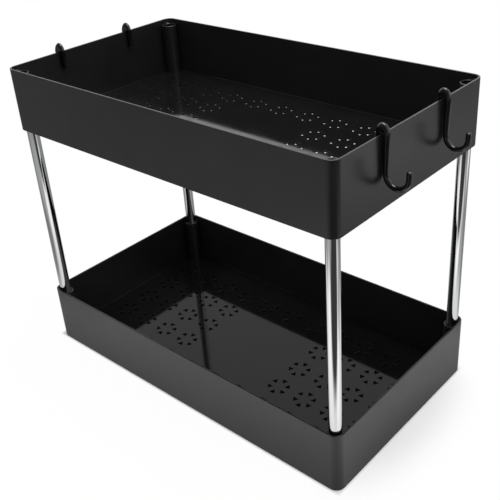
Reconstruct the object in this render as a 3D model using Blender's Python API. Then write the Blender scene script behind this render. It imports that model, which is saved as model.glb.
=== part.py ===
"""Two-tier utility shelf: two moulded trays on four chrome tubes, with J-hooks over the end rims.

Units are metres, +Z is up, +X runs along the shelf and -Y is its front.
The origin is on the floor under the middle of the shelf.
"""
import math

import bmesh
import bpy
from mathutils import Vector

# Tray moulding. Both tiers come out of the same mould.
TRAY_LENGTH = 0.400
TRAY_DEPTH = 0.220
TRAY_HEIGHT = 0.064
CORNER_RADIUS = 0.0090
WALL = 0.0018
FLOOR_THICKNESS = 0.0016
FLOOR_RAISE = 0.0028
FLOOR_FILLET = 0.0010
BASE_CHAMFER = 0.0004
RIM_CHAMFER = 0.0003

# Tubes that carry the upper tier.
TUBE_DIAMETER = 0.0120
TUBE_WALL = 0.0007
TUBE_LENGTH = 0.2554

# Corner posts of a tray. A tube enters each post from above or from below.
SOCKET_CLEARANCE = 0.0003
SEAT_GAP = 0.0003
POST_WALL = 0.0019
POST_SKIN = 0.0011
POST_TOP_DROP = 0.0053
POST_FOOT_RAISE = 0.0004
SOCKET_WEB = 0.0020
LOWER_SOCKET_DEPTH = 0.0260

# Perforated floor: flowers of six triangular petals, with a plain field in the middle.
PETAL_SIDE = 0.0064
PETAL_TIP_RADIUS = 0.0060
FLOWER_PITCH_LONG = 0.0341
FLOWER_PITCH_DEEP = 0.0348
FLOWER_MARGIN = 0.0120
PLAIN_COLUMNS_EACH_SIDE = 1
PLAIN_ROWS_EACH_SIDE = 1
PETALS = 6

# J-hooks that hang over the end rims of the upper tray. The rod is thicker at the crown and tapers down the leg.
HOOK_ROD = 0.0051
HOOK_CROWN_ROD = 0.0063
HOOK_GAP = 0.0003
HOOK_SLOT_CORNER = 0.0004
HOOK_ARCH_LIFT = 0.0022
HOOK_INNER_DROP = 0.0180
HOOK_LEG_DROP = 0.0320
HOOK_BEND_RADIUS = 0.0106
HOOK_TIP_RISE = 0.0050
HOOK_RIM_SHARES = (
    ("front", "right", -0.22),
    ("back", "right", 0.19),
    ("front", "left", -0.205),
    ("back", "left", 0.205),
)

# How far a cutting tool runs past the faces that it cuts.
OVERRUN = 0.0020

# Facet counts.
ROUND_STEPS = 20
CORNER_STEPS = 5
ROD_STEPS = 8
ARCH_STEPS = 3
BEND_STEPS = 10
END_STEPS = 3

# Values that follow from the sizes above.
TUBE_RADIUS = TUBE_DIAMETER / 2
SOCKET_RADIUS = TUBE_RADIUS + SOCKET_CLEARANCE
POST_RADIUS = SOCKET_RADIUS + POST_WALL
POST_INSET = POST_RADIUS + POST_SKIN
FLOOR_TOP = FLOOR_RAISE + FLOOR_THICKNESS
POST_TOP = TRAY_HEIGHT - POST_TOP_DROP
UPPER_SOCKET_FLOOR = LOWER_SOCKET_DEPTH + SOCKET_WEB
TUBE_FOOT_Z = UPPER_SOCKET_FLOOR + SEAT_GAP
UPPER_TRAY_Z = TUBE_FOOT_Z + TUBE_LENGTH + SEAT_GAP - LOWER_SOCKET_DEPTH
RIM_Z = UPPER_TRAY_Z + TRAY_HEIGHT
ROD_RADIUS = HOOK_ROD / 2
CROWN_RADIUS = HOOK_CROWN_ROD / 2
HOOK_SLOT = WALL + 2 * HOOK_GAP
HOOK_AXIS_X = TRAY_LENGTH / 2 - WALL / 2

ENDS = (("right", 1), ("left", -1))
SIDES = (("front", -1), ("back", 1))


def clear_scene():
    """Remove every object that the file starts with."""
    for item in list(bpy.data.objects):
        bpy.data.objects.remove(item, do_unlink=True)


def add_object(name, mesh, material=None):
    """Put a mesh in the scene under a name, smooth where it is round."""
    mesh.shade_smooth()
    mesh.set_sharp_from_angle(angle=math.radians(30))
    item = bpy.data.objects.new(name, mesh)
    bpy.context.scene.collection.objects.link(item)
    if material is not None and not mesh.materials:
        mesh.materials.append(material)
    return item


def finish_material(name, colour, roughness, metallic):
    """Make a Principled material."""
    material = bpy.data.materials.new(name)
    material.use_nodes = True
    shader = material.node_tree.nodes["Principled BSDF"]
    shader.inputs["Base Color"].default_value = (*colour, 1.0)
    shader.inputs["Roughness"].default_value = roughness
    shader.inputs["Metallic"].default_value = metallic
    material.diffuse_color = (*colour, 1.0)
    return material


def tray_plastic():
    """Glossy black moulded plastic of the trays."""
    return finish_material("tray_black_plastic", (0.012, 0.012, 0.013), 0.25, 0.0)


def hook_plastic():
    """Glossy black plastic of the hooks."""
    return finish_material("hook_black_plastic", (0.008, 0.008, 0.009), 0.18, 0.0)


def tube_chrome():
    """Bright chrome plating of the tubes."""
    return finish_material("tube_chrome", (0.82, 0.83, 0.84), 0.06, 1.0)


def mesh_from(bm, name):
    """Turn a finished bmesh into a mesh with its faces pointing out."""
    bmesh.ops.recalc_face_normals(bm, faces=bm.faces)
    mesh = bpy.data.meshes.new(name)
    bm.to_mesh(mesh)
    bm.free()
    return mesh


def stack_rings(bm, rings):
    """Skin a row of equal rings with quads and close both ends."""
    loops = [[bm.verts.new(point) for point in ring] for ring in rings]
    for low, high in zip(loops, loops[1:]):
        for index in range(len(low)):
            after = (index + 1) % len(low)
            bm.faces.new((low[index], low[after], high[after], high[index]))
    bm.faces.new(loops[0])
    bm.faces.new(loops[-1])


def rounded_rectangle(inset, height):
    """Ring of points along the tray's outline, drawn in by an inset."""
    radius = CORNER_RADIUS - inset
    reach_x = TRAY_LENGTH / 2 - CORNER_RADIUS
    reach_y = TRAY_DEPTH / 2 - CORNER_RADIUS
    centres = ((reach_x, reach_y), (-reach_x, reach_y), (-reach_x, -reach_y), (reach_x, -reach_y))
    ring = []
    for quarter, (centre_x, centre_y) in enumerate(centres):
        for step in range(CORNER_STEPS + 1):
            angle = math.pi / 2 * (quarter + step / CORNER_STEPS)
            point = (centre_x + radius * math.cos(angle), centre_y + radius * math.sin(angle), height)
            ring.append(Vector(point))
    return ring


def tray_shell():
    """Open box: floor underside, skirt, outer wall, rim, inner wall and floor top in one skin."""
    section = (
        (WALL, FLOOR_RAISE),
        (WALL, 0),
        (BASE_CHAMFER, 0),
        (0, BASE_CHAMFER),
        (0, TRAY_HEIGHT - RIM_CHAMFER),
        (RIM_CHAMFER, TRAY_HEIGHT),
        (WALL - RIM_CHAMFER, TRAY_HEIGHT),
        (WALL, TRAY_HEIGHT - RIM_CHAMFER),
        (WALL, FLOOR_TOP + FLOOR_FILLET),
        (WALL + FLOOR_FILLET, FLOOR_TOP),
    )
    bm = bmesh.new()
    stack_rings(bm, [rounded_rectangle(inset, height) for inset, height in section])
    return mesh_from(bm, "tray_shell")


def circle(centre, radius, height, steps=ROUND_STEPS):
    """Ring of points on a level circle."""
    ring = []
    for step in range(steps):
        angle = math.tau * step / steps
        ring.append(Vector((centre[0] + radius * math.cos(angle), centre[1] + radius * math.sin(angle), height)))
    return ring


def corner_axes():
    """Where the four corner posts and tubes stand, with their names."""
    places = []
    for side, sign_y in SIDES:
        for end, sign_x in ENDS:
            place = (sign_x * (TRAY_LENGTH / 2 - POST_INSET), sign_y * (TRAY_DEPTH / 2 - POST_INSET))
            places.append((f"{side}_{end}", place))
    return places


def corner_rods(name, radius, spans):
    """Four sets of upright round bars on the corner axes, one bar for each span of heights."""
    bm = bmesh.new()
    for _, place in corner_axes():
        for bottom, top in spans:
            stack_rings(bm, [circle(place, radius, bottom), circle(place, radius, top)])
    return mesh_from(bm, name)


def flower_centres():
    """Grid of flowers that fits the floor, leaving out the plain field in the middle."""
    flower_radius = PETAL_TIP_RADIUS + PETAL_SIDE * math.sin(math.pi / 3)
    room_x = TRAY_LENGTH / 2 - WALL - FLOWER_MARGIN - flower_radius
    room_y = TRAY_DEPTH / 2 - WALL - FLOWER_MARGIN - flower_radius
    columns = int(room_x / FLOWER_PITCH_LONG)
    rows = int(room_y / FLOWER_PITCH_DEEP)
    centres = []
    for column in range(-columns, columns + 1):
        for row in range(-rows, rows + 1):
            plain = abs(column) <= PLAIN_COLUMNS_EACH_SIDE and abs(row) <= PLAIN_ROWS_EACH_SIDE
            if not plain:
                centres.append(Vector((column * FLOWER_PITCH_LONG, row * FLOWER_PITCH_DEEP, 0)))
    return centres


def petal_ring(centre, petal, height):
    """One triangular petal, its tip towards the flower's centre."""
    angle = math.tau * (petal + 0.5) / PETALS
    outward = Vector((math.cos(angle), math.sin(angle), 0))
    along = Vector((-outward.y, outward.x, 0))
    tip = centre + outward * PETAL_TIP_RADIUS
    back = tip + outward * PETAL_SIDE * math.sin(math.pi / 3)
    half = along * PETAL_SIDE / 2
    lift = Vector((0, 0, height))
    return [tip + lift, back - half + lift, back + half + lift]


def petal_punches():
    """All the petals of the floor as upright prisms."""
    bm = bmesh.new()
    for centre in flower_centres():
        for petal in range(PETALS):
            bottom = petal_ring(centre, petal, FLOOR_RAISE - OVERRUN)
            top = petal_ring(centre, petal, FLOOR_TOP + OVERRUN)
            stack_rings(bm, [bottom, top])
    return mesh_from(bm, "petal_punches")


def combine(target, tool_mesh, operation):
    """Add a Boolean of the target with a tool, which stays hidden."""
    tool = add_object(tool_mesh.name, tool_mesh)
    tool.hide_render = True
    tool.display_type = "WIRE"
    modifier = target.modifiers.new(tool_mesh.name, "BOOLEAN")
    modifier.operation = operation
    modifier.solver = "EXACT"
    modifier.object = tool
    return tool


def tray_mesh():
    """The finished moulding: shell, corner posts, their sockets and the perforated floor."""
    blank = add_object("tray_blank", tray_shell())
    posts = corner_rods("tray_posts", POST_RADIUS, [(POST_FOOT_RAISE, POST_TOP)])
    lower_span = (-OVERRUN, LOWER_SOCKET_DEPTH)
    upper_span = (UPPER_SOCKET_FLOOR, POST_TOP + OVERRUN)
    sockets = corner_rods("tray_sockets", SOCKET_RADIUS, [lower_span, upper_span])
    tools = [
        combine(blank, posts, "UNION"),
        combine(blank, sockets, "DIFFERENCE"),
        combine(blank, petal_punches(), "DIFFERENCE"),
    ]
    bpy.context.view_layer.update()
    evaluated = blank.evaluated_get(bpy.context.evaluated_depsgraph_get())
    mesh = bpy.data.meshes.new_from_object(evaluated)
    mesh.name = "tray"
    for item in [blank, *tools]:
        bpy.data.objects.remove(item, do_unlink=True)
    return mesh


def build_trays():
    """Both tiers, alike, one above the other."""
    mesh = tray_mesh()
    material = tray_plastic()
    for name, height in (("lower_tray", 0), ("upper_tray", UPPER_TRAY_Z)):
        tray = add_object(name, mesh, material)
        tray.location.z = height


def tube_mesh():
    """Thin round tube standing on the origin, open at both ends."""
    bore = TUBE_RADIUS - TUBE_WALL
    origin = (0, 0)
    bm = bmesh.new()
    rings = [
        circle(origin, bore, 0),
        circle(origin, TUBE_RADIUS, 0),
        circle(origin, TUBE_RADIUS, TUBE_LENGTH),
        circle(origin, bore, TUBE_LENGTH),
    ]
    loops = [[bm.verts.new(point) for point in ring] for ring in rings]
    for low, high in zip(loops, loops[1:] + loops[:1]):
        for index in range(ROUND_STEPS):
            after = (index + 1) % ROUND_STEPS
            bm.faces.new((low[index], low[after], high[after], high[index]))
    return mesh_from(bm, "tube")


def build_tubes():
    """Four tubes between the tiers, each seated in a post above and a post below."""
    mesh = tube_mesh()
    material = tube_chrome()
    for corner, place in corner_axes():
        tube = add_object(f"tube_{corner}", mesh, material)
        tube.location = (place[0], place[1], TUBE_FOOT_Z)


def rod_section(outer, outer_way, inner, inner_way, radius):
    """Round section whose outer and inner halves may stand apart, as at the hook's crown."""
    ring = []
    for step in range(ROD_STEPS):
        angle = math.tau * (step + 0.5) / ROD_STEPS - math.pi / 2
        centre, way = (outer, outer_way) if math.cos(angle) > 0 else (inner, inner_way)
        across = radius * math.cos(angle)
        point = (centre[0] + across * way[0], radius * math.sin(angle), centre[1] + across * way[1])
        ring.append(Vector(point))
    return ring


def plain_section(centre, way, radius):
    """Round section of the plain rod."""
    return rod_section(centre, way, centre, way, radius)


def rounded_end(centre, way, heading, radius):
    """Sections that round off an end, from the full rod to a small cap, along a heading in Z."""
    sections = []
    for step in range(1, END_STEPS + 1):
        angle = math.pi / 2 * step / (END_STEPS + 0.5)
        lift = heading * radius * math.sin(angle)
        sections.append(plain_section((centre[0], centre[1] + lift), way, radius * math.cos(angle)))
    return sections


def crown_sections():
    """Arch over the rim: round outside, and inside a slot with a flat seat for the wall."""
    half_slot = HOOK_SLOT / 2
    flat = half_slot - HOOK_SLOT_CORNER
    corner = HOOK_SLOT_CORNER + CROWN_RADIUS
    corner_z = HOOK_GAP - HOOK_SLOT_CORNER
    arch = half_slot + CROWN_RADIUS
    inner_steps = (*range(ARCH_STEPS + 1), *range(ARCH_STEPS, 2 * ARCH_STEPS + 1))
    sections = []
    for station, inner_step in enumerate(inner_steps):
        side = -1 if station <= ARCH_STEPS else 1
        inner_angle = math.pi * (1 - inner_step / (2 * ARCH_STEPS))
        outer_angle = math.pi * (1 - station / (2 * ARCH_STEPS + 1))
        inner_way = (math.cos(inner_angle), math.sin(inner_angle))
        outer_way = (math.cos(outer_angle), math.sin(outer_angle))
        inner = (side * flat + corner * inner_way[0], corner_z + corner * inner_way[1])
        outer = (arch * outer_way[0], HOOK_ARCH_LIFT + arch * outer_way[1])
        sections.append(rod_section(outer, outer_way, inner, inner_way, CROWN_RADIUS))
    return sections


def bend_sections(centre):
    """Half turn at the foot of the hook."""
    sections = []
    for step in range(BEND_STEPS + 1):
        angle = math.pi * (1 + step / BEND_STEPS)
        way = (-math.cos(angle), -math.sin(angle))
        place = (centre[0] - HOOK_BEND_RADIUS * way[0], centre[1] - HOOK_BEND_RADIUS * way[1])
        sections.append(plain_section(place, way, ROD_RADIUS))
    return sections


def hook_mesh():
    """J-hook in the plane of X and Z. Its origin is at the rim, in the middle of its slot."""
    inner_foot = (-HOOK_SLOT / 2 - CROWN_RADIUS, CROWN_RADIUS - HOOK_INNER_DROP)
    bend_centre = (HOOK_SLOT / 2 + ROD_RADIUS + HOOK_BEND_RADIUS, -HOOK_LEG_DROP)
    tip = (bend_centre[0] + HOOK_BEND_RADIUS, HOOK_TIP_RISE - HOOK_LEG_DROP)
    sections = list(reversed(rounded_end(inner_foot, (-1, 0), -1, CROWN_RADIUS)))
    sections.append(plain_section(inner_foot, (-1, 0), CROWN_RADIUS))
    sections += crown_sections()
    sections += bend_sections(bend_centre)
    sections.append(plain_section(tip, (-1, 0), ROD_RADIUS))
    sections += rounded_end(tip, (-1, 0), 1, ROD_RADIUS)
    bm = bmesh.new()
    stack_rings(bm, sections)
    return mesh_from(bm, "hook")


def build_hooks():
    """Two hooks over each end rim, each free to slide along it, with its leg along the wall outside."""
    mesh = hook_mesh()
    material = hook_plastic()
    signs = dict(ENDS)
    for place, end, share in HOOK_RIM_SHARES:
        hook = add_object(f"hook_{place}_{end}", mesh, material)
        hook.location = (signs[end] * HOOK_AXIS_X, share * TRAY_DEPTH, RIM_Z)
        hook.rotation_euler.z = 0 if signs[end] > 0 else math.pi


clear_scene()
build_trays()
build_tubes()
build_hooks()
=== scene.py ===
"""Two-tier utility shelf in black moulded plastic and chromed tube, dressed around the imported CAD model.

Units are metres, +Z is up, +X runs along the shelf to its right end and -Y is its front.
"""
import logging
import math
from collections.abc import Callable, Iterator
from contextlib import contextmanager
from dataclasses import dataclass
from enum import Enum

import bmesh
import bpy
from mathutils import Matrix, Vector


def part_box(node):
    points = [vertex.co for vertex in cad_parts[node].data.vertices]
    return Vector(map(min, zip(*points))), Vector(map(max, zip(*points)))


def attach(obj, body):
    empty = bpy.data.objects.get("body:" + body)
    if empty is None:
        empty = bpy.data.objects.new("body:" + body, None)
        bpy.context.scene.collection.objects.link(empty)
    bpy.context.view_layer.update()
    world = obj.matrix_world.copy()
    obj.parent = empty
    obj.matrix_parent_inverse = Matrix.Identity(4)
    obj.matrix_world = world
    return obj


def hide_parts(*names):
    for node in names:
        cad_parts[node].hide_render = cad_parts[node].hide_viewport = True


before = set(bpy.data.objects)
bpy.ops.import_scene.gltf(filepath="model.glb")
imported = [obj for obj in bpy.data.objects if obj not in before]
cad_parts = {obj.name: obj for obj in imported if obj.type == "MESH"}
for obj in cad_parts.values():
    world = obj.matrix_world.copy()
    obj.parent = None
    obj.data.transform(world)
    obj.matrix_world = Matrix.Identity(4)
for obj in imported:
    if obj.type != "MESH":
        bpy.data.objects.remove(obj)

LOG = logging.getLogger("utility_shelf")

MM = 0.001
TOUCH = 1e-5


class End(Enum):
    """End of the shelf, with its sign along X."""

    RIGHT = 1
    LEFT = -1


class Side(Enum):
    """Long side of the shelf, with its sign along Y."""

    FRONT = -1
    BACK = 1


# Colours and nodes


def linear(hex_colour: str) -> tuple[float, float, float, float]:
    """Turn an sRGB hex colour into the linear RGBA that shader sockets take.

    Args:
        hex_colour: Colour such as "#0f0f10".

    Returns:
        Linear red, green, blue and an alpha of one.
    """
    channels = []
    for start in (1, 3, 5):
        value = int(hex_colour[start:start + 2], 16) / 255
        channels.append(value / 12.92 if value <= 0.04045 else ((value + 0.055) / 1.055) ** 2.4)
    return (*channels, 1.0)


def add_node(
    tree: bpy.types.NodeTree,
    kind: str,
    settings: dict[str | int, object] | None = None,
    links: dict[str | int, bpy.types.NodeSocket] | None = None,
) -> bpy.types.Node:
    """Add one shader node with its settings and its incoming links.

    Args:
        tree: Node tree that takes the node.
        kind: Type of the node.
        settings: Node properties by name, or socket values by socket name or number.
        links: Outputs of other nodes by the name or number of the socket that they feed.

    Returns:
        The new node.
    """
    added = tree.nodes.new(kind)
    for key, value in (settings or {}).items():
        if isinstance(key, str) and key not in added.inputs and hasattr(added, key):
            setattr(added, key, value)
        else:
            added.inputs[key].default_value = value
    for key, output in (links or {}).items():
        tree.links.new(output, added.inputs[key])
    return added


def new_material(name: str) -> tuple[bpy.types.Material, bpy.types.NodeTree, bpy.types.Node]:
    """Start a material with an empty tree and an output.

    Args:
        name: Name of the material.

    Returns:
        The material, its node tree and its output node.
    """
    material = bpy.data.materials.new(name)
    material.use_nodes = True
    tree = material.node_tree
    tree.nodes.clear()
    output = add_node(tree, "ShaderNodeOutputMaterial")
    return material, tree, output


def soft_pattern(tree: bpy.types.NodeTree, size: float, stretch: tuple[float, float, float] = (1, 1, 1),
                 detail: float = 2.0) -> bpy.types.NodeSocket:
    """Cloudy pattern whose patches have a real size.

    Args:
        tree: Node tree that takes the nodes.
        size: Size of a patch in metres.
        stretch: How many times longer a patch is along each axis.
        detail: Octaves of finer pattern.

    Returns:
        The pattern, from 0 to 1.
    """
    place = add_node(tree, "ShaderNodeTexCoord").outputs["Object"]
    scale = tuple(1 / axis for axis in stretch)
    mapped = add_node(tree, "ShaderNodeMapping", {"Scale": scale}, {"Vector": place})
    noise = add_node(tree, "ShaderNodeTexNoise", {"Scale": 1 / size, "Detail": detail}, {"Vector": mapped.outputs[0]})
    return noise.outputs["Fac"]


def between(tree: bpy.types.NodeTree, pattern: bpy.types.NodeSocket, low: float, high: float) -> bpy.types.NodeSocket:
    """Spread a cloudy pattern over a range of values.

    Args:
        tree: Node tree that takes the node.
        pattern: Pattern from 0 to 1, most of it from 0.3 to 0.7.
        low: Value at the pattern's low patches.
        high: Value at its high patches.

    Returns:
        The spread value.
    """
    settings = {"From Min": 0.3, "From Max": 0.7, "To Min": low, "To Max": high}
    return add_node(tree, "ShaderNodeMapRange", settings, {"Value": pattern}).outputs["Result"]


def eased(tree: bpy.types.NodeTree, value: bpy.types.NodeSocket, limits: tuple[float, float],
          levels: tuple[float, float]) -> bpy.types.NodeSocket:
    """Turn a value into a level that changes smoothly between two limits.

    Args:
        tree: Node tree that takes the node.
        value: Value that is turned into a level.
        limits: Lower and upper limit of the value.
        levels: Levels at the lower and the upper limit.

    Returns:
        The level.
    """
    settings = {"interpolation_type": "SMOOTHSTEP", "From Min": limits[0], "From Max": limits[1],
                "To Min": levels[0], "To Max": levels[1]}
    return add_node(tree, "ShaderNodeMapRange", settings, {"Value": value}).outputs["Result"]


def times(tree: bpy.types.NodeTree, first: bpy.types.NodeSocket,
          second: bpy.types.NodeSocket) -> bpy.types.NodeSocket:
    """Multiply two values.

    Args:
        tree: Node tree that takes the node.
        first: One of the values.
        second: The other value.

    Returns:
        The product.
    """
    return add_node(tree, "ShaderNodeMath", {"operation": "MULTIPLY"}, {0: first, 1: second}).outputs[0]


# Finishes


@dataclass(frozen=True)
class BlackMoulding:
    """Black injection-moulded plastic.

    ABS out of a polished steel mould: a near-black body and a clear 4 % gloss at the surface, in which pale
    surroundings show. The gloss bends a little where the plastic has shrunk behind the skin.
    """

    name: str
    dark: str
    light: str
    roughness_low: float
    roughness_high: float
    ripple: float = 4.0 * MM
    ripple_height: float = 0.0006 * MM
    sink: float = 55 * MM
    sink_height: float = 0.020 * MM
    ior: float = 1.50

    def material(self) -> bpy.types.Material:
        """Build the material."""
        material, tree, output = new_material(self.name)
        # Patches of about 30 mm, where the pigment and the mould's polish differ a little.
        cloud = soft_pattern(tree, 30 * MM)
        mix = add_node(tree, "ShaderNodeMix", {"data_type": "RGBA"}, {0: between(tree, cloud, 0.0, 1.0)})
        mix.inputs[6].default_value = linear(self.dark)
        mix.inputs[7].default_value = linear(self.light)
        # Orange peel is finer than a pixel, so it is drawn as coarse ripples that still show in a close view.
        ripple = add_node(tree, "ShaderNodeBump", {"Strength": 1.0, "Distance": self.ripple_height},
                          {"Height": soft_pattern(tree, self.ripple)})
        sink = add_node(tree, "ShaderNodeBump", {"Strength": 1.0, "Distance": self.sink_height},
                        {"Height": soft_pattern(tree, self.sink, detail=0.0), "Normal": ripple.outputs[0]})
        rough = between(tree, soft_pattern(tree, 18 * MM), self.roughness_low, self.roughness_high)
        shader = add_node(
            tree, "ShaderNodeBsdfPrincipled", {"IOR": self.ior},
            {"Base Color": mix.outputs[2], "Roughness": rough, "Normal": sink.outputs[0]})
        tree.links.new(shader.outputs[0], output.inputs["Surface"])
        return material


@dataclass(frozen=True)
class ChromePlate:
    """Bright chrome plating on a drawn steel tube.

    A neutral mirror with faint lengthwise lines, left from drawing and polishing the tube.
    """

    name: str = "chrome_plated_drawn_steel"
    pale: str = "#dadbdc"
    grey: str = "#d0d1d3"
    roughness_low: float = 0.05
    roughness_high: float = 0.10

    def material(self) -> bpy.types.Material:
        """Build the material."""
        material, tree, output = new_material(self.name)
        # Drawing lines are about 0.1 mm wide. They are drawn 0.6 mm wide and 40 mm long so that they show.
        lines = soft_pattern(tree, 0.6 * MM, stretch=(1, 1, 70))
        mix = add_node(tree, "ShaderNodeMix", {"data_type": "RGBA"}, {0: between(tree, lines, 0.0, 1.0)})
        mix.inputs[6].default_value = linear(self.grey)
        mix.inputs[7].default_value = linear(self.pale)
        bump = add_node(tree, "ShaderNodeBump", {"Strength": 1.0, "Distance": 0.0002 * MM}, {"Height": lines})
        rough = between(tree, soft_pattern(tree, 9 * MM), self.roughness_low, self.roughness_high)
        shader = add_node(
            tree, "ShaderNodeBsdfPrincipled", {"Metallic": 1.0},
            {"Base Color": mix.outputs[2], "Roughness": rough, "Normal": bump.outputs[0]})
        tree.links.new(shader.outputs[0], output.inputs["Surface"])
        return material


WALL_PLASTIC = BlackMoulding("abs_black_moulded_satin_wall", "#141415", "#18181a", 0.28, 0.32)
FLOOR_PLASTIC = BlackMoulding("abs_black_moulded_polished_floor", "#101011", "#131314", 0.05, 0.08)
HOOK_PLASTIC = BlackMoulding("abs_black_moulded_gloss_hook", "#0a0a0b", "#0d0d0e", 0.12, 0.16)
TUBE_CHROME = ChromePlate()


# Modelling by hand


def choose(*pieces: bpy.types.Object) -> bpy.types.Object:
    """Select only these pieces and make the first one active.

    Args:
        pieces: Objects to select.

    Returns:
        The first of them.
    """
    bpy.ops.object.select_all(action="DESELECT")
    for piece in pieces:
        piece.select_set(True)
    bpy.context.view_layer.objects.active = pieces[0]
    return pieces[0]


def settle(name: str) -> bpy.types.Object:
    """Name the active object and put its place, turn and scale into its mesh."""
    piece = choose(bpy.context.active_object)
    piece.name = name
    piece.data.name = name
    bpy.ops.object.transform_apply(location=True, rotation=True, scale=True)
    return piece


@contextmanager
def shaping(piece: bpy.types.Object) -> Iterator[bpy.types.Object]:
    """Open a piece in edit mode with nothing selected, and close it afterwards.

    Args:
        piece: Object to shape.

    Yields:
        The piece.
    """
    choose(piece)
    bpy.ops.object.mode_set(mode="EDIT")
    bpy.ops.mesh.select_all(action="DESELECT")
    yield piece
    bpy.ops.object.mode_set(mode="OBJECT")


def pick_faces(piece: bpy.types.Object, test: Callable[[Vector, Vector], bool]) -> int:
    """Select the faces whose centre and normal pass a test.

    Args:
        piece: Object in edit mode.
        test: Says whether a face with this centre and normal is wanted.

    Returns:
        How many faces are selected.
    """
    bpy.ops.mesh.select_mode(type="FACE")
    mesh = bmesh.from_edit_mesh(piece.data)
    mesh.normal_update()
    for face in mesh.faces:
        face.select_set(test(face.calc_center_median(), face.normal))
    mesh.select_flush_mode()
    bmesh.update_edit_mesh(piece.data)
    return sum(face.select for face in mesh.faces)


def pick_edges(piece: bpy.types.Object, test: Callable[[Vector, Vector], bool]) -> int:
    """Select the edges whose two ends pass a test.

    Args:
        piece: Object in edit mode.
        test: Says whether an edge with these ends is wanted.

    Returns:
        How many edges are selected.
    """
    bpy.ops.mesh.select_mode(type="EDGE")
    mesh = bmesh.from_edit_mesh(piece.data)
    for edge in mesh.edges:
        edge.select_set(test(edge.verts[0].co, edge.verts[1].co))
    mesh.select_flush_mode()
    bmesh.update_edit_mesh(piece.data)
    return sum(edge.select for edge in mesh.edges)


def pick_points(piece: bpy.types.Object, test: Callable[[Vector], bool]) -> int:
    """Select the points whose place passes a test.

    Args:
        piece: Object in edit mode.
        test: Says whether a point at this place is wanted.

    Returns:
        How many points are selected.
    """
    bpy.ops.mesh.select_mode(type="VERT")
    mesh = bmesh.from_edit_mesh(piece.data)
    for point in mesh.verts:
        point.select_set(test(point.co))
    mesh.select_flush_mode()
    bmesh.update_edit_mesh(piece.data)
    return sum(point.select for point in mesh.verts)


def push(x: float = 0, y: float = 0, z: float = 0) -> None:
    """Extrude what is selected by a distance along each axis."""
    bpy.ops.mesh.extrude_region_move(TRANSFORM_OT_translate={"value": (x, y, z)})


def swell(factor: tuple[float, float, float], centre: Vector) -> None:
    """Scale what is selected about a point."""
    bpy.ops.transform.resize(value=factor, center_override=centre)


def round_edges(width: float, steps: int) -> None:
    """Round the selected edges over."""
    bpy.ops.mesh.bevel(offset=width, offset_type="OFFSET", segments=steps, profile=0.5, affect="EDGES")


def apply_boolean(piece: bpy.types.Object, tool: bpy.types.Object, operation: str) -> None:
    """Join a tool to a piece or cut it out, and remove the tool.

    Args:
        piece: Object that is changed.
        tool: Object that is joined or cut out.
        operation: UNION or DIFFERENCE.
    """
    choose(piece)
    modifier = piece.modifiers.new(tool.name, "BOOLEAN")
    modifier.operation = operation
    modifier.solver = "EXACT"
    modifier.object = tool
    bpy.ops.object.modifier_apply(modifier=modifier.name)
    bpy.data.objects.remove(tool, do_unlink=True)


def join_all(pieces: list[bpy.types.Object], name: str) -> bpy.types.Object:
    """Join several objects into one.

    Args:
        pieces: Objects to join.
        name: Name of the result.

    Returns:
        The joined object.
    """
    joined = choose(*pieces)
    if len(pieces) > 1:
        bpy.ops.object.join()
    joined.name = name
    joined.data.name = name
    return joined


def copy_at(piece: bpy.types.Object, name: str, offset: Vector) -> bpy.types.Object:
    """Copy a piece with its own mesh and move the copy.

    Args:
        piece: Object to copy.
        name: Name of the copy.
        offset: How far the copy is moved.

    Returns:
        The copy, with its place in its mesh.
    """
    choose(piece)
    bpy.ops.object.duplicate(linked=False)
    bpy.ops.transform.translate(value=offset)
    return settle(name)


def smooth_over(piece: bpy.types.Object, degrees: float = 35) -> None:
    """Shade round faces smooth, while flat faces stay flat up to their rounded edges.

    Args:
        piece: Finished object.
        degrees: Edges sharper than this stay sharp.
    """
    choose(piece)
    bpy.ops.object.shade_smooth_by_angle(angle=math.radians(degrees))
    modifier = piece.modifiers.new("flat_faces_rule", "WEIGHTED_NORMAL")
    modifier.weight = 100
    modifier.keep_sharp = True
    bpy.ops.object.modifier_apply(modifier=modifier.name)


def hand_over(piece: bpy.types.Object, node: str, body: str) -> None:
    """Let a finished piece stand for its CAD node and ride its body.

    Args:
        piece: Finished object.
        node: CAD node that it replaces.
        body: Body that it moves with.
    """
    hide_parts(node)
    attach(piece, body)
    LOG.info("%s: %d faces, rides on %s", piece.name, len(piece.data.polygons), body)


# Trays


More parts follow.
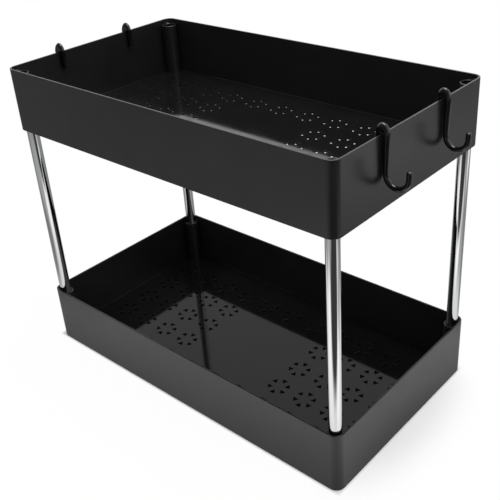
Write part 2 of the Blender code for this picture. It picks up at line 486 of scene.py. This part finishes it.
@dataclass
class PerforatedTrays:
    """The two trays, out of one mould: deep box, corner posts with sockets, and a floor of flowers."""

    wall: float = 1.8 * MM
    floor_top: float = 4.4 * MM
    floor_raise: float = 2.55 * MM
    corner_radius: float = 9.0 * MM
    corner_steps: int = 14
    rim_round: float = 0.3 * MM
    floor_fillet: float = 0.25 * MM
    base_round: float = 0.4 * MM
    skirt_round: float = 0.3 * MM
    round_steps: int = 4
    post_radius: float = 8.2 * MM
    post_inset: float = 9.3 * MM
    post_top: float = 58.7 * MM
    post_foot: float = 0.4 * MM
    post_round: float = 0.4 * MM
    socket_radius: float = 6.3 * MM
    socket_floor: float = 28 * MM
    socket_depth_below: float = 26 * MM
    mouth_chamfer: float = 0.35 * MM
    post_sides: int = 72
    petal_side: float = 6.4 * MM
    petal_tip: float = 6.0 * MM
    petal_corner: float = 0.75 * MM
    petal_ease: float = 0.22 * MM
    petals: int = 6
    pitch_long: float = 34.1 * MM
    pitch_deep: float = 34.8 * MM
    columns: int = 5
    rows: int = 2
    plain_columns: int = 1
    plain_rows: int = 1
    overrun: float = 1.5 * MM

    def __post_init__(self) -> None:
        """Read the outside sizes from the CAD tray."""
        low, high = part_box("lower_tray")
        self.length, self.depth, self.height = high - low
        self.upper_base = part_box("upper_tray")[0].z

    def on_ring(self, height: float, inner: bool) -> Callable[[Vector, Vector], bool]:
        """Make the test for the edges of a level ring, along the outside or the inside of the wall."""
        limit_x = self.length / 2 - self.wall / 2
        limit_y = self.depth / 2 - self.wall / 2
        reach = self.corner_radius - self.wall / 2

        def outside(point: Vector) -> bool:
            corner_x = abs(point.x) - (self.length / 2 - self.corner_radius)
            corner_y = abs(point.y) - (self.depth / 2 - self.corner_radius)
            if corner_x > 0 and corner_y > 0:
                return math.hypot(corner_x, corner_y) > reach
            return abs(point.x) > limit_x or abs(point.y) > limit_y

        def test(start: Vector, stop: Vector) -> bool:
            level = all(abs(point.z - height) < TOUCH for point in (start, stop))
            return level and outside(start) != inner and outside(stop) != inner

        return test

    def box(self) -> bpy.types.Object:
        """Model the plain box: corners, wall, floor and skirt, with every edge rounded."""
        bpy.ops.mesh.primitive_cube_add(size=1, location=(0, 0, self.height / 2),
                                        scale=(self.length, self.depth, self.height))
        tray = settle("tray")
        with shaping(tray):
            pick_edges(tray, lambda a, b: abs(a.z - b.z) > self.height / 2)
            round_edges(self.corner_radius, self.corner_steps)
            pick_faces(tray, lambda centre, normal: normal.z > 0.9)
            bpy.ops.mesh.inset(thickness=self.wall, depth=0)
            push(z=self.floor_top - self.height)
            pick_faces(tray, lambda centre, normal: normal.z < -0.9)
            bpy.ops.mesh.inset(thickness=self.wall, depth=0)
            push(z=self.floor_raise)
            for height, inner, width in (
                (self.height, False, self.rim_round),
                (self.height, True, self.rim_round),
                (self.floor_top, True, self.floor_fillet),
                (0.0, False, self.base_round),
                (0.0, True, self.skirt_round),
            ):
                count = pick_edges(tray, self.on_ring(height, inner))
                LOG.info("ring at %.4f, inner %s: %d edges", height, inner, count)
                round_edges(width, self.round_steps)
        return tray

    def corners(self) -> list[tuple[float, float]]:
        """List the axes of the four corner posts."""
        reach_x = self.length / 2 - self.post_inset
        reach_y = self.depth / 2 - self.post_inset
        return [(side_x.value * reach_x, side_y.value * reach_y) for side_x in End for side_y in Side]

    def add_posts(self, tray: bpy.types.Object) -> None:
        """Join a post with a rounded top to each corner."""
        posts = []
        for x, y in self.corners():
            middle = (self.post_foot + self.post_top) / 2
            bpy.ops.mesh.primitive_cylinder_add(vertices=self.post_sides, radius=self.post_radius,
                                                depth=self.post_top - self.post_foot, location=(x, y, middle))
            post = settle("post")
            with shaping(post):
                pick_edges(post, lambda a, b: min(a.z, b.z) > self.post_top - TOUCH)
                round_edges(self.post_round, self.round_steps)
            posts.append(post)
        apply_boolean(tray, join_all(posts, "posts"), "UNION")

    def socket(self, x: float, y: float, mouth: float, depth: float) -> bpy.types.Object:
        """Model the tool for one socket, with a chamfered mouth.

        Args:
            x: Place of the axis.
            y: Place of the axis.
            mouth: Height of the mouth.
            depth: How far it goes in, downwards where it is negative.

        Returns:
            The cutting tool.
        """
        out = -math.copysign(self.overrun, depth)
        span = abs(depth) + self.overrun
        bpy.ops.mesh.primitive_cylinder_add(vertices=self.post_sides, radius=self.socket_radius, depth=span,
                                            location=(x, y, mouth + (depth + out) / 2))
        tool = settle("socket")
        with shaping(tool):
            inwards = mouth + math.copysign(self.mouth_chamfer, depth)
            bpy.ops.mesh.select_all(action="SELECT")
            bpy.ops.mesh.bisect(plane_co=(x, y, inwards), plane_no=(0, 0, 1))
            pick_points(tool, lambda point: abs(point.z - mouth - out) < TOUCH)
            wide = (self.socket_radius + self.mouth_chamfer + self.overrun) / self.socket_radius
            swell((wide, wide, 1), Vector((x, y, mouth + out)))
        return tool

    def cut_sockets(self, tray: bpy.types.Object) -> None:
        """Cut the sockets from above and from below, with a web between them."""
        tools = []
        for x, y in self.corners():
            tools.append(self.socket(x, y, self.post_top, self.socket_floor - self.post_top))
            tools.append(self.socket(x, y, self.post_foot, self.socket_depth_below - self.post_foot))
        apply_boolean(tray, join_all(tools, "sockets"), "DIFFERENCE")

    def petal(self) -> bpy.types.Object:
        """Model the tool for one petal: a triangle with round corners and an eased upper edge."""
        out_radius = self.petal_side / math.sqrt(3)
        centre_x = self.petal_tip + out_radius
        bottom = self.floor_raise - self.overrun
        bpy.ops.mesh.primitive_circle_add(vertices=3, radius=out_radius, fill_type="NGON", location=(0, 0, bottom),
                                          rotation=(0, 0, math.pi / 2))
        petal = settle("petal")
        bpy.ops.transform.translate(value=(centre_x, 0, 0))
        petal = settle("petal")
        in_radius = out_radius / 2
        ease = self.petal_ease
        steps = (
            (self.floor_top - ease - bottom, 0.0),
            (0.7 * ease, 0.3 * ease),
            (0.3 * ease, 0.7 * ease),
            (self.overrun, 0.0),
        )
        with shaping(petal):
            bpy.ops.mesh.select_all(action="SELECT")
            bpy.ops.mesh.bevel(offset=self.petal_corner, segments=3, affect="VERTICES")
            grown = in_radius
            height = bottom
            for rise, widen in steps:
                pick_faces(petal, lambda centre, normal: abs(centre.z - height) < TOUCH and abs(normal.z) > 0.9)
                push(z=rise)
                height += rise
                factor = (grown + widen) / grown
                swell((factor, factor, 1), Vector((centre_x, 0, height)))
                grown += widen
            bpy.ops.mesh.select_all(action="SELECT")
            bpy.ops.mesh.normals_make_consistent(inside=False)
        return petal

    def flower_places(self) -> list[tuple[float, float]]:
        """List the middles of the flowers, with the plain field in the middle left out."""
        places = []
        for column in range(-self.columns, self.columns + 1):
            for row in range(-self.rows, self.rows + 1):
                if abs(column) > self.plain_columns or abs(row) > self.plain_rows:
                    places.append((column * self.pitch_long, row * self.pitch_deep))
        return places

    def cut_flowers(self, tray: bpy.types.Object) -> None:
        """Cut the flowers of six petals through the floor."""
        petals = [self.petal()]
        choose(petals[0])
        # The first petal points along +X, and half a step turns the flower as on the real floor.
        petals[0].data.transform(Matrix.Rotation(math.tau / self.petals / 2, 4, "Z"))
        for index in range(1, self.petals):
            petal = copy_at(petals[0], "petal", Vector((0, 0, 0)))
            petal.data.transform(Matrix.Rotation(math.tau * index / self.petals, 4, "Z"))
            petals.append(petal)
        flower = join_all(petals, "flower")
        places = self.flower_places()
        flowers = [copy_at(flower, "flower", Vector((x, y, 0))) for x, y in places]
        bpy.data.objects.remove(flower, do_unlink=True)
        apply_boolean(tray, join_all(flowers, "flowers"), "DIFFERENCE")
        LOG.info("%d flowers cut", len(places))

    def dress(self, tray: bpy.types.Object) -> None:
        """Give the walls their satin plastic and the floor its polished one."""
        tray.data.materials.clear()
        tray.data.materials.append(WALL_PLASTIC.material())
        tray.data.materials.append(FLOOR_PLASTIC.material())
        with shaping(tray):
            low, high = self.floor_raise - TOUCH, self.floor_top + self.floor_fillet
            pick_faces(tray, lambda centre, normal: low < centre.z < high and
                       abs(centre.x) < self.length / 2 - self.wall - TOUCH and
                       abs(centre.y) < self.depth / 2 - self.wall - TOUCH)
            tray.active_material_index = 1
            bpy.ops.object.material_slot_assign()

    def build(self) -> None:
        """Model one tray, copy it for the other tier and hand both over."""
        tray = self.box()
        self.add_posts(tray)
        self.cut_sockets(tray)
        self.cut_flowers(tray)
        self.dress(tray)
        smooth_over(tray)
        upper = copy_at(tray, "upper_tray_moulding", Vector((0, 0, self.upper_base)))
        tray.name = "lower_tray_moulding"
        hand_over(tray, "lower_tray", "shelf")
        hand_over(upper, "upper_tray", "shelf")


# Tubes


@dataclass
class ChromeTubes:
    """The four tubes between the tiers."""

    wall: float = 0.7 * MM
    sides: int = 96
    lip_round: float = 0.2 * MM

    def tube(self, node: str) -> bpy.types.Object:
        """Model one open tube where its CAD node stands.

        Args:
            node: CAD node that it stands for.

        Returns:
            The finished tube.
        """
        low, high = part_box(node)
        radius = (high.x - low.x) / 2
        bpy.ops.mesh.primitive_cylinder_add(vertices=self.sides, radius=radius, depth=high.z - low.z,
                                            location=(low + high) / 2)
        tube = settle(f"{node}_chromed")
        with shaping(tube):
            pick_faces(tube, lambda centre, normal: abs(normal.z) > 0.9)
            bpy.ops.mesh.inset(thickness=self.wall, depth=0)
            bpy.ops.mesh.bridge_edge_loops()
            pick_edges(tube, lambda a, b: abs(a.z - b.z) < TOUCH)
            round_edges(self.lip_round, 3)
        return tube

    def build(self) -> None:
        """Model, dress and hand over the tubes."""
        chrome = TUBE_CHROME.material()
        for end in End:
            for side in Side:
                node = f"tube_{side.name.lower()}_{end.name.lower()}"
                tube = self.tube(node)
                tube.data.materials.append(chrome)
                smooth_over(tube)
                hand_over(tube, node, "shelf")


# Hooks


@dataclass
class RimHooks:
    """The four J-hooks on the end rims of the upper tray."""

    rod: float = 4.8 * MM
    crown_rod: float = 6.0 * MM
    inner_rod: float = 4.8 * MM
    slot: float = 2.4 * MM
    crown_axis: float = -0.9 * MM
    crown_top: float = 9.0 * MM
    crown_steps: int = 10
    inner_drop: float = 18 * MM
    leg_drop: float = 31.8 * MM
    leg_steps: int = 3
    bend_radius: float = 10.45 * MM
    tip_rise: float = 7.0 * MM
    axis_x: float = 199.1 * MM
    sides: int = 16
    end_round: float = 0.42
    outer_half: float = 0.55

    def __post_init__(self) -> None:
        """Find the rim's height."""
        self.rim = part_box("upper_tray")[1].z

    def hook(self) -> bpy.types.Object:
        """Model one hook in the plane of X and Z, with the rim at the origin.

        Returns:
            The finished hook.
        """
        # Rounding draws a ring of this many sides in a little, so the rings are made larger by as much.
        loose = 3 / (2 + math.cos(math.tau / self.sides))
        radius = self.rod / 2
        bend = Vector((self.slot / 2 + radius + self.bend_radius, 0, -self.leg_drop))
        tip = bend + Vector((self.bend_radius, 0, self.tip_rise))
        bpy.ops.mesh.primitive_circle_add(vertices=self.sides, radius=radius * loose, fill_type="NGON",
                                          location=tip)
        hook = settle("hook")
        with shaping(hook):
            bpy.ops.mesh.select_all(action="SELECT")
            push(z=-self.tip_rise)
            bpy.ops.mesh.spin(steps=14, angle=-math.pi, center=bend, axis=(0, 1, 0))
            # The leg grows towards the crown and stays flush with the wall.
            taper = (self.crown_rod / self.rod) ** (1 / self.leg_steps)
            for _ in range(self.leg_steps):
                push(z=(self.leg_drop + self.crown_axis) / self.leg_steps)
                swell((taper, taper, 1), Vector((self.slot / 2, 0, 0)))
            crown = Vector((0, 0, self.crown_axis))
            # Over the rim the rod thins towards the inner leg.
            thin = (self.inner_rod / self.crown_rod) ** (1 / self.crown_steps)
            for step in range(1, self.crown_steps + 1):
                bpy.ops.mesh.spin(steps=1, angle=math.pi / self.crown_steps, center=crown, axis=(0, 1, 0))
                angle = math.pi * step / self.crown_steps
                swell((thin, thin, thin), crown + self.slot / 2 * Vector((math.cos(angle), 0, math.sin(angle))))
            push(z=-(self.inner_drop + self.crown_axis))
            # The crown's outer half stands up over the rim.
            middle = (self.slot + self.inner_rod) / 2
            crest = self.slot / 2 + math.sqrt(self.crown_rod * self.inner_rod)
            stretch = (self.crown_top - self.crown_axis) / crest
            reach = self.slot / 2 + self.inner_rod * self.outer_half
            pick_points(hook, lambda point: point.z > self.crown_axis + TOUCH and
                        math.hypot(point.x, point.z - self.crown_axis) > reach)
            swell((1, 1, stretch), crown)
            # Round off both ends.
            for place, rod in ((tip, self.rod), (Vector((-middle, 0, -self.inner_drop)), self.inner_rod)):
                pick_faces(hook, lambda centre, normal: (centre - place).length < rod / 4 and abs(normal.z) > 0.9)
                round_edges(rod * self.end_round, 4)
            bpy.ops.mesh.select_all(action="SELECT")
            bpy.ops.mesh.remove_doubles(threshold=1e-6)
            bpy.ops.mesh.normals_make_consistent(inside=False)
        modifier = hook.modifiers.new("rounding", "SUBSURF")
        modifier.levels = 2
        modifier.render_levels = 2
        choose(hook)
        bpy.ops.object.modifier_apply(modifier=modifier.name)
        bpy.ops.object.shade_smooth()
        return hook

    def build(self) -> None:
        """Model one hook, hang four copies on the rims and hand them over."""
        pattern = self.hook()
        pattern.data.materials.append(HOOK_PLASTIC.material())
        for end in End:
            turn = Matrix.Rotation(0 if end is End.RIGHT else math.pi, 4, "Z")
            for side in Side:
                place = f"{side.name.lower()}_{end.name.lower()}"
                low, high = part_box(f"hook_{place}")
                offset = Vector((end.value * self.axis_x, (low.y + high.y) / 2, self.rim))
                hook = copy_at(pattern, f"hook_{place}_moulding", Vector((0, 0, 0)))
                hook.data.transform(Matrix.Translation(offset) @ turn)
                hand_over(hook, f"hook_{place}", f"{place}_hook")
        bpy.data.objects.remove(pattern, do_unlink=True)


# Studio


@dataclass(frozen=True)
class FloorPatch:
    """Patch of the studio floor with its own level, as an ellipse with a soft edge."""

    middle: tuple[float, float]
    reach: tuple[float, float]
    turn: float
    level: float
    edge: tuple[float, float]

    def cover(self, tree: bpy.types.NodeTree) -> bpy.types.NodeSocket:
        """Give how much the patch covers each place of the floor.

        Args:
            tree: Node tree of the floor's material.

        Returns:
            The cover, 1 in the patch's middle and 0 outside it.
        """
        place = add_node(tree, "ShaderNodeTexCoord").outputs["Object"]
        settings = {"vector_type": "TEXTURE", "Location": (*self.middle, 0), "Scale": (*self.reach, 1),
                    "Rotation": (0, 0, self.turn)}
        local = add_node(tree, "ShaderNodeMapping", settings, {"Vector": place})
        distance = add_node(tree, "ShaderNodeVectorMath", {"operation": "LENGTH"}, {0: local.outputs[0]})
        return eased(tree, distance.outputs["Value"], self.edge, (1.0, 0.0))

    def over(self, tree: bpy.types.NodeTree, level: bpy.types.NodeSocket | float) -> bpy.types.NodeSocket:
        """Lay the patch over a level.

        Args:
            tree: Node tree of the floor's material.
            level: Level of the floor under the patch.

        Returns:
            The level with the patch laid over it.
        """
        mix = add_node(tree, "ShaderNodeMix", {"data_type": "FLOAT", 3: self.level}, {0: self.cover(tree)})
        if isinstance(level, float):
            mix.inputs[2].default_value = level
        else:
            tree.links.new(level, mix.inputs[2])
        return mix.outputs[0]


# Painted reflection: levels at which the floor glows in gloss and chrome only, with painted pools of light and painted
# dark and contact shade, laid one over the other from the dim room inwards.
MIRRORED_ROOM = 0.31
ROOM_BEHIND = FloorPatch((0.70, 0.50), (0.20, 0.38), 0.0, 1.15, (0.30, 1.15))
ROOM_FRONT = FloorPatch((-0.15, -0.55), (0.50, 0.30), 0.0, 0.48, (0.40, 1.20))
ROOM_LEFT = FloorPatch((-1.00, -0.50), (0.50, 0.50), 0.0, 0.30, (0.20, 1.20))
PAPER = FloorPatch((0.20, -0.09), (0.52, 0.29), 0.0, 1.00, (0.70, 1.15))
FRONT_POOL = FloorPatch((0.10, -0.32), (0.20, 0.17), math.radians(35), 1.30, (0.30, 1.15))
RIGHT_POOL = FloorPatch((0.37, -0.10), (0.12, 0.10), 0.0, 1.40, (0.35, 1.20))
RIGHT_DIM = FloorPatch((0.46, 0.07), (0.13, 0.12), 0.0, 0.50, (0.30, 1.15))
RIGHT_CONTACT = FloorPatch((0.200, -0.01), (0.022, 0.115), 0.0, 0.75, (0.25, 1.20))
DIM_LEFT = FloorPatch((-0.34, -0.33), (0.20, 0.12), 0.0, 0.26, (0.60, 1.20))
DARK_AHEAD = FloorPatch((0.46, -0.30), (0.345, 0.22), math.radians(27), 0.055, (0.72, 1.05))
DARK_CAMERA = FloorPatch((0.72, -0.64), (0.42, 0.38), 0.0, 0.05, (0.80, 1.15))
DARK_RIGHT = FloorPatch((1.14, -0.05), (0.40, 0.55), 0.0, 0.06, (0.75, 1.10))
MIRRORED_PATCHES = (ROOM_BEHIND, ROOM_FRONT, ROOM_LEFT, PAPER, FRONT_POOL, RIGHT_POOL, RIGHT_DIM, RIGHT_CONTACT,
                    DIM_LEFT, DARK_AHEAD, DARK_CAMERA, DARK_RIGHT)
# Painted shadow at the shelf's right end: in this ellipse the lift to white is held back, so the floor's own shading
# shows through darker.
RIGHT_PAINTED_SHADOW = FloorPatch((0.200, 0.003), (0.045, 0.122), 0.0, 0.45, (0.25, 1.20))


@dataclass
class Studio:
    """Pale floor, plain light and the camera."""

    camera_place: tuple[float, float, float] = (0.5030, -0.5163, 0.5532)
    yaw: float = 0.7330
    pitch: float = 0.5048
    roll: float = -0.0587
    lens: float = 57.60
    shift: tuple[float, float] = (-0.0404, -0.0465)
    sensor: float = 36.0
    clip_start: float = 20 * MM
    floor_size: float = 12.0
    paper: str = "#f4f4f4"
    # Painted shade: the ground well under the lower tray takes this darker grey.
    painted_shade_below_tray: str = "#4a4a4a"
    ground_inset: float = 12 * MM
    ground_edge: tuple[float, float] = (2 * MM, 8 * MM)
    near_lift: float = 0.97
    near_reach: float = 2.5 * MM
    far_reach: tuple[float, float] = (80 * MM, 300 * MM)
    # Painted shade in reflections: the mirrored floor is darker near the shelf and darkest under it.
    painted_contact_shade: tuple[float, float] = (0.55, 60 * MM)
    under_tray: float = 0.05
    surround: float = 0.85
    high_behind: float = 0.55
    high_limits: tuple[float, float] = (0.34, 0.55)
    high_depth: tuple[float, float] = (0.05, 0.40)
    low_behind: float = 1.5
    low_limits: tuple[float, float] = (0.42, 0.54)
    low_depth: tuple[float, float] = (0.40, 0.75)
    overhead: float = 1.25
    overhead_limits: tuple[float, float] = (0.72, 0.86)
    dark_front: float = 0.12
    front_depth: tuple[float, float] = (-0.65, -0.10)
    lamp_place: tuple[float, float, float] = (0.10, 0.12, 1.15)
    lamp_target: tuple[float, float, float] = (0.05, 0.0, 0.2)
    lamp_size: tuple[float, float] = (0.7, 0.45)
    lamp_power: float = 8.0

    def camera(self) -> None:
        """Set the camera at the photograph's angle."""
        forward = Vector((-math.sin(self.yaw) * math.cos(self.pitch), math.cos(self.yaw) * math.cos(self.pitch),
                          -math.sin(self.pitch)))
        level_right = forward.cross(Vector((0, 0, 1))).normalized()
        level_up = level_right.cross(forward)
        right = math.cos(self.roll) * level_right + math.sin(self.roll) * level_up
        up = math.cos(self.roll) * level_up - math.sin(self.roll) * level_right
        turn = Matrix((right, up, -forward)).transposed()
        bpy.ops.object.camera_add(location=self.camera_place, rotation=turn.to_euler())
        camera = bpy.context.active_object
        camera.data.sensor_width = self.sensor
        camera.data.lens = self.lens
        camera.data.shift_x, camera.data.shift_y = self.shift
        camera.data.clip_start = self.clip_start
        bpy.context.scene.camera = camera

    def clearance(self, tree: bpy.types.NodeTree, inset: float = 0.0) -> bpy.types.NodeSocket:
        """Give how far each place of the floor is from the lower tray's footprint.

        Args:
            tree: Node tree of the floor's material.
            inset: How much smaller than the footprint the measured rectangle is, along each side.

        Returns:
            The distance in metres.
        """
        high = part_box("lower_tray")[1]
        corner = (high.x - inset, high.y - inset, 0)
        place = add_node(tree, "ShaderNodeTexCoord").outputs["Object"]
        mirrored = add_node(tree, "ShaderNodeVectorMath", {"operation": "ABSOLUTE"}, {0: place})
        beyond = add_node(tree, "ShaderNodeVectorMath", {"operation": "SUBTRACT", 1: corner}, {0: mirrored.outputs[0]})
        clear = add_node(tree, "ShaderNodeVectorMath", {"operation": "MAXIMUM", 1: (0, 0, 0)}, {0: beyond.outputs[0]})
        return add_node(tree, "ShaderNodeVectorMath", {"operation": "LENGTH"}, {0: clear.outputs[0]}).outputs["Value"]

    def white_lift(self, tree: bpy.types.NodeTree, distance: bpy.types.NodeSocket) -> bpy.types.NodeSocket:
        """Give how far the floor is lifted to white for the camera: none under the shelf, less in the painted shadow
        at its right end.

        Args:
            tree: Node tree of the floor's material.
            distance: Distance from the lower tray's footprint.

        Returns:
            The lift, from 0 to 1.
        """
        beside = add_node(tree, "ShaderNodeMapRange", {"From Max": self.near_reach, "To Max": self.near_lift},
                          {"Value": distance})
        near = times(tree, beside.outputs[0], RIGHT_PAINTED_SHADOW.over(tree, 1.0))
        settings = {"From Min": self.far_reach[0], "From Max": self.far_reach[1], "To Max": 1 - self.near_lift}
        far = add_node(tree, "ShaderNodeMapRange", settings, {"Value": distance})
        return add_node(tree, "ShaderNodeMath", {"operation": "ADD"}, {0: near, 1: far.outputs[0]}).outputs[0]

    def open_ground(self, tree: bpy.types.NodeTree) -> bpy.types.NodeSocket:
        """Give the mask of the painted shade under the tray, from 0 well under the tray to 1 beside it.

        Args:
            tree: Node tree of the floor's material.

        Returns:
            The openness.
        """
        settings = {"From Min": self.ground_edge[0], "From Max": self.ground_edge[1]}
        inside = self.clearance(tree, self.ground_inset)
        return add_node(tree, "ShaderNodeMapRange", settings, {"Value": inside}).outputs[0]

    def mirrored_level(self, tree: bpy.types.NodeTree, distance: bpy.types.NodeSocket) -> bpy.types.NodeSocket:
        """Give the floor's painted level in reflections, with painted shade darker close to the shelf and darkest
        under it.

        Args:
            tree: Node tree of the floor's material.
            distance: Distance from the lower tray's footprint.

        Returns:
            The level, 1 where the floor is as white as paper.
        """
        level = MIRRORED_ROOM
        for patch in MIRRORED_PATCHES:
            level = patch.over(tree, level)
        painted_contact_shade = add_node(tree, "ShaderNodeMapRange", {"From Max": self.painted_contact_shade[1], "To Min": self.painted_contact_shade[0]},
                           {"Value": distance})
        beside = times(tree, level, painted_contact_shade.outputs[0])
        under = add_node(tree, "ShaderNodeMapRange", {"To Min": self.under_tray}, {"Value": self.open_ground(tree)})
        return times(tree, beside, under.outputs[0])

    def floor(self) -> None:
        """Lay the pale floor that keeps the object's shadow."""
        bpy.ops.mesh.primitive_plane_add(size=self.floor_size, location=(0, 0, 0))
        floor = settle("studio_floor")
        material, tree, output = new_material("studio_floor_white_paper")
        rays = add_node(tree, "ShaderNodeLightPath")
        distance = self.clearance(tree)
        # Painted shade: little light gets under the tray, so the ground there is painted darker than the paper beside
        # it.
        shaded = add_node(tree, "ShaderNodeMix", {"data_type": "RGBA"}, {0: self.open_ground(tree)})
        shaded.inputs[6].default_value = linear(self.painted_shade_below_tray)
        shaded.inputs[7].default_value = linear(self.paper)
        paper = add_node(tree, "ShaderNodeBsdfDiffuse", {}, {"Color": shaded.outputs[2]})
        white = add_node(tree, "ShaderNodeEmission", {"Strength": 1.0})
        lift = times(tree, rays.outputs["Is Camera Ray"], self.white_lift(tree, distance))
        seen = add_node(tree, "ShaderNodeMixShader", {}, {0: lift, 1: paper.outputs[0], 2: white.outputs[0]})
        mirrored = add_node(tree, "ShaderNodeEmission", {}, {"Strength": self.mirrored_level(tree, distance)})
        mix = add_node(tree, "ShaderNodeMixShader", {},
                       {0: rays.outputs["Is Glossy Ray"], 1: seen.outputs[0], 2: mirrored.outputs[0]})
        tree.links.new(mix.outputs[0], output.inputs["Surface"])
        floor.data.materials.append(material)

    def gloss_level(self, tree: bpy.types.NodeTree) -> bpy.types.NodeSocket:
        """Give the room's level for gloss: a window low behind, dimmer walls above it, and dark ahead.

        Args:
            tree: Node tree of the world.

        Returns:
            The level, 1 where the room is white.
        """
        direction = add_node(tree, "ShaderNodeTexCoord").outputs["Generated"]
        parts = add_node(tree, "ShaderNodeSeparateXYZ", {}, {0: direction})
        height, depth = parts.outputs["Z"], parts.outputs["Y"]
        up, down = (0.0, 1.0), (1.0, 0.0)
        high = times(tree, eased(tree, height, self.high_limits, up), eased(tree, depth, self.high_depth, up))
        room = add_node(tree, "ShaderNodeMix", {"data_type": "FLOAT", 2: 1.0, 3: self.high_behind}, {0: high})
        low = times(tree, eased(tree, height, self.low_limits, down), eased(tree, depth, self.low_depth, up))
        window = add_node(tree, "ShaderNodeMix", {"data_type": "FLOAT", 2: 1.0, 3: self.low_behind}, {0: low})
        walls = times(tree, room.outputs[0], window.outputs[0])
        lit = add_node(tree, "ShaderNodeMix", {"data_type": "FLOAT", 3: self.overhead},
                       {0: eased(tree, height, self.overhead_limits, up), 2: walls})
        return times(tree, lit.outputs[0], eased(tree, depth, self.front_depth, (self.dark_front, 1.0)))

    def surroundings(self) -> None:
        """Give the pale room: white for the camera, plain for the paper and uneven for gloss."""
        world = bpy.data.worlds.new("studio_surround")
        bpy.context.scene.world = world
        world.use_nodes = True
        tree = world.node_tree
        tree.nodes.clear()
        rays = add_node(tree, "ShaderNodeLightPath")
        plain = add_node(tree, "ShaderNodeMix", {"data_type": "FLOAT", 2: self.surround},
                         {0: rays.outputs["Is Glossy Ray"], 3: self.gloss_level(tree)})
        strength = add_node(tree, "ShaderNodeMix", {"data_type": "FLOAT", 3: 1.0},
                            {0: rays.outputs["Is Camera Ray"], 2: plain.outputs[0]})
        background = add_node(tree, "ShaderNodeBackground", {"Color": (1, 1, 1, 1)}, {"Strength": strength.outputs[0]})
        output = add_node(tree, "ShaderNodeOutputWorld", {}, {"Surface": background.outputs[0]})
        output.is_active_output = True

    def lamp(self) -> None:
        """Hang one large soft lamp above the shelf."""
        bpy.ops.object.light_add(type="AREA", location=self.lamp_place)
        lamp = bpy.context.active_object
        lamp.name = "overhead_softbox"
        lamp.data.shape = "RECTANGLE"
        lamp.data.size, lamp.data.size_y = self.lamp_size
        lamp.data.energy = self.lamp_power
        aim = Vector(self.lamp_target) - lamp.location
        lamp.rotation_euler = aim.to_track_quat("-Z", "Y").to_euler()

    def build(self) -> None:
        """Set up the whole studio."""
        self.camera()
        self.floor()
        self.surroundings()
        self.lamp()
        bpy.context.scene.view_settings.view_transform = "Standard"


def main() -> None:
    """Build every sub-assembly in order and report each piece."""
    logging.basicConfig(level=logging.INFO, format="%(name)s: %(message)s")
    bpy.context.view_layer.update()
    for part in (Studio(), PerforatedTrays(), ChromeTubes(), RimHooks()):
        part.build()


if __name__ == "__main__":
    main()
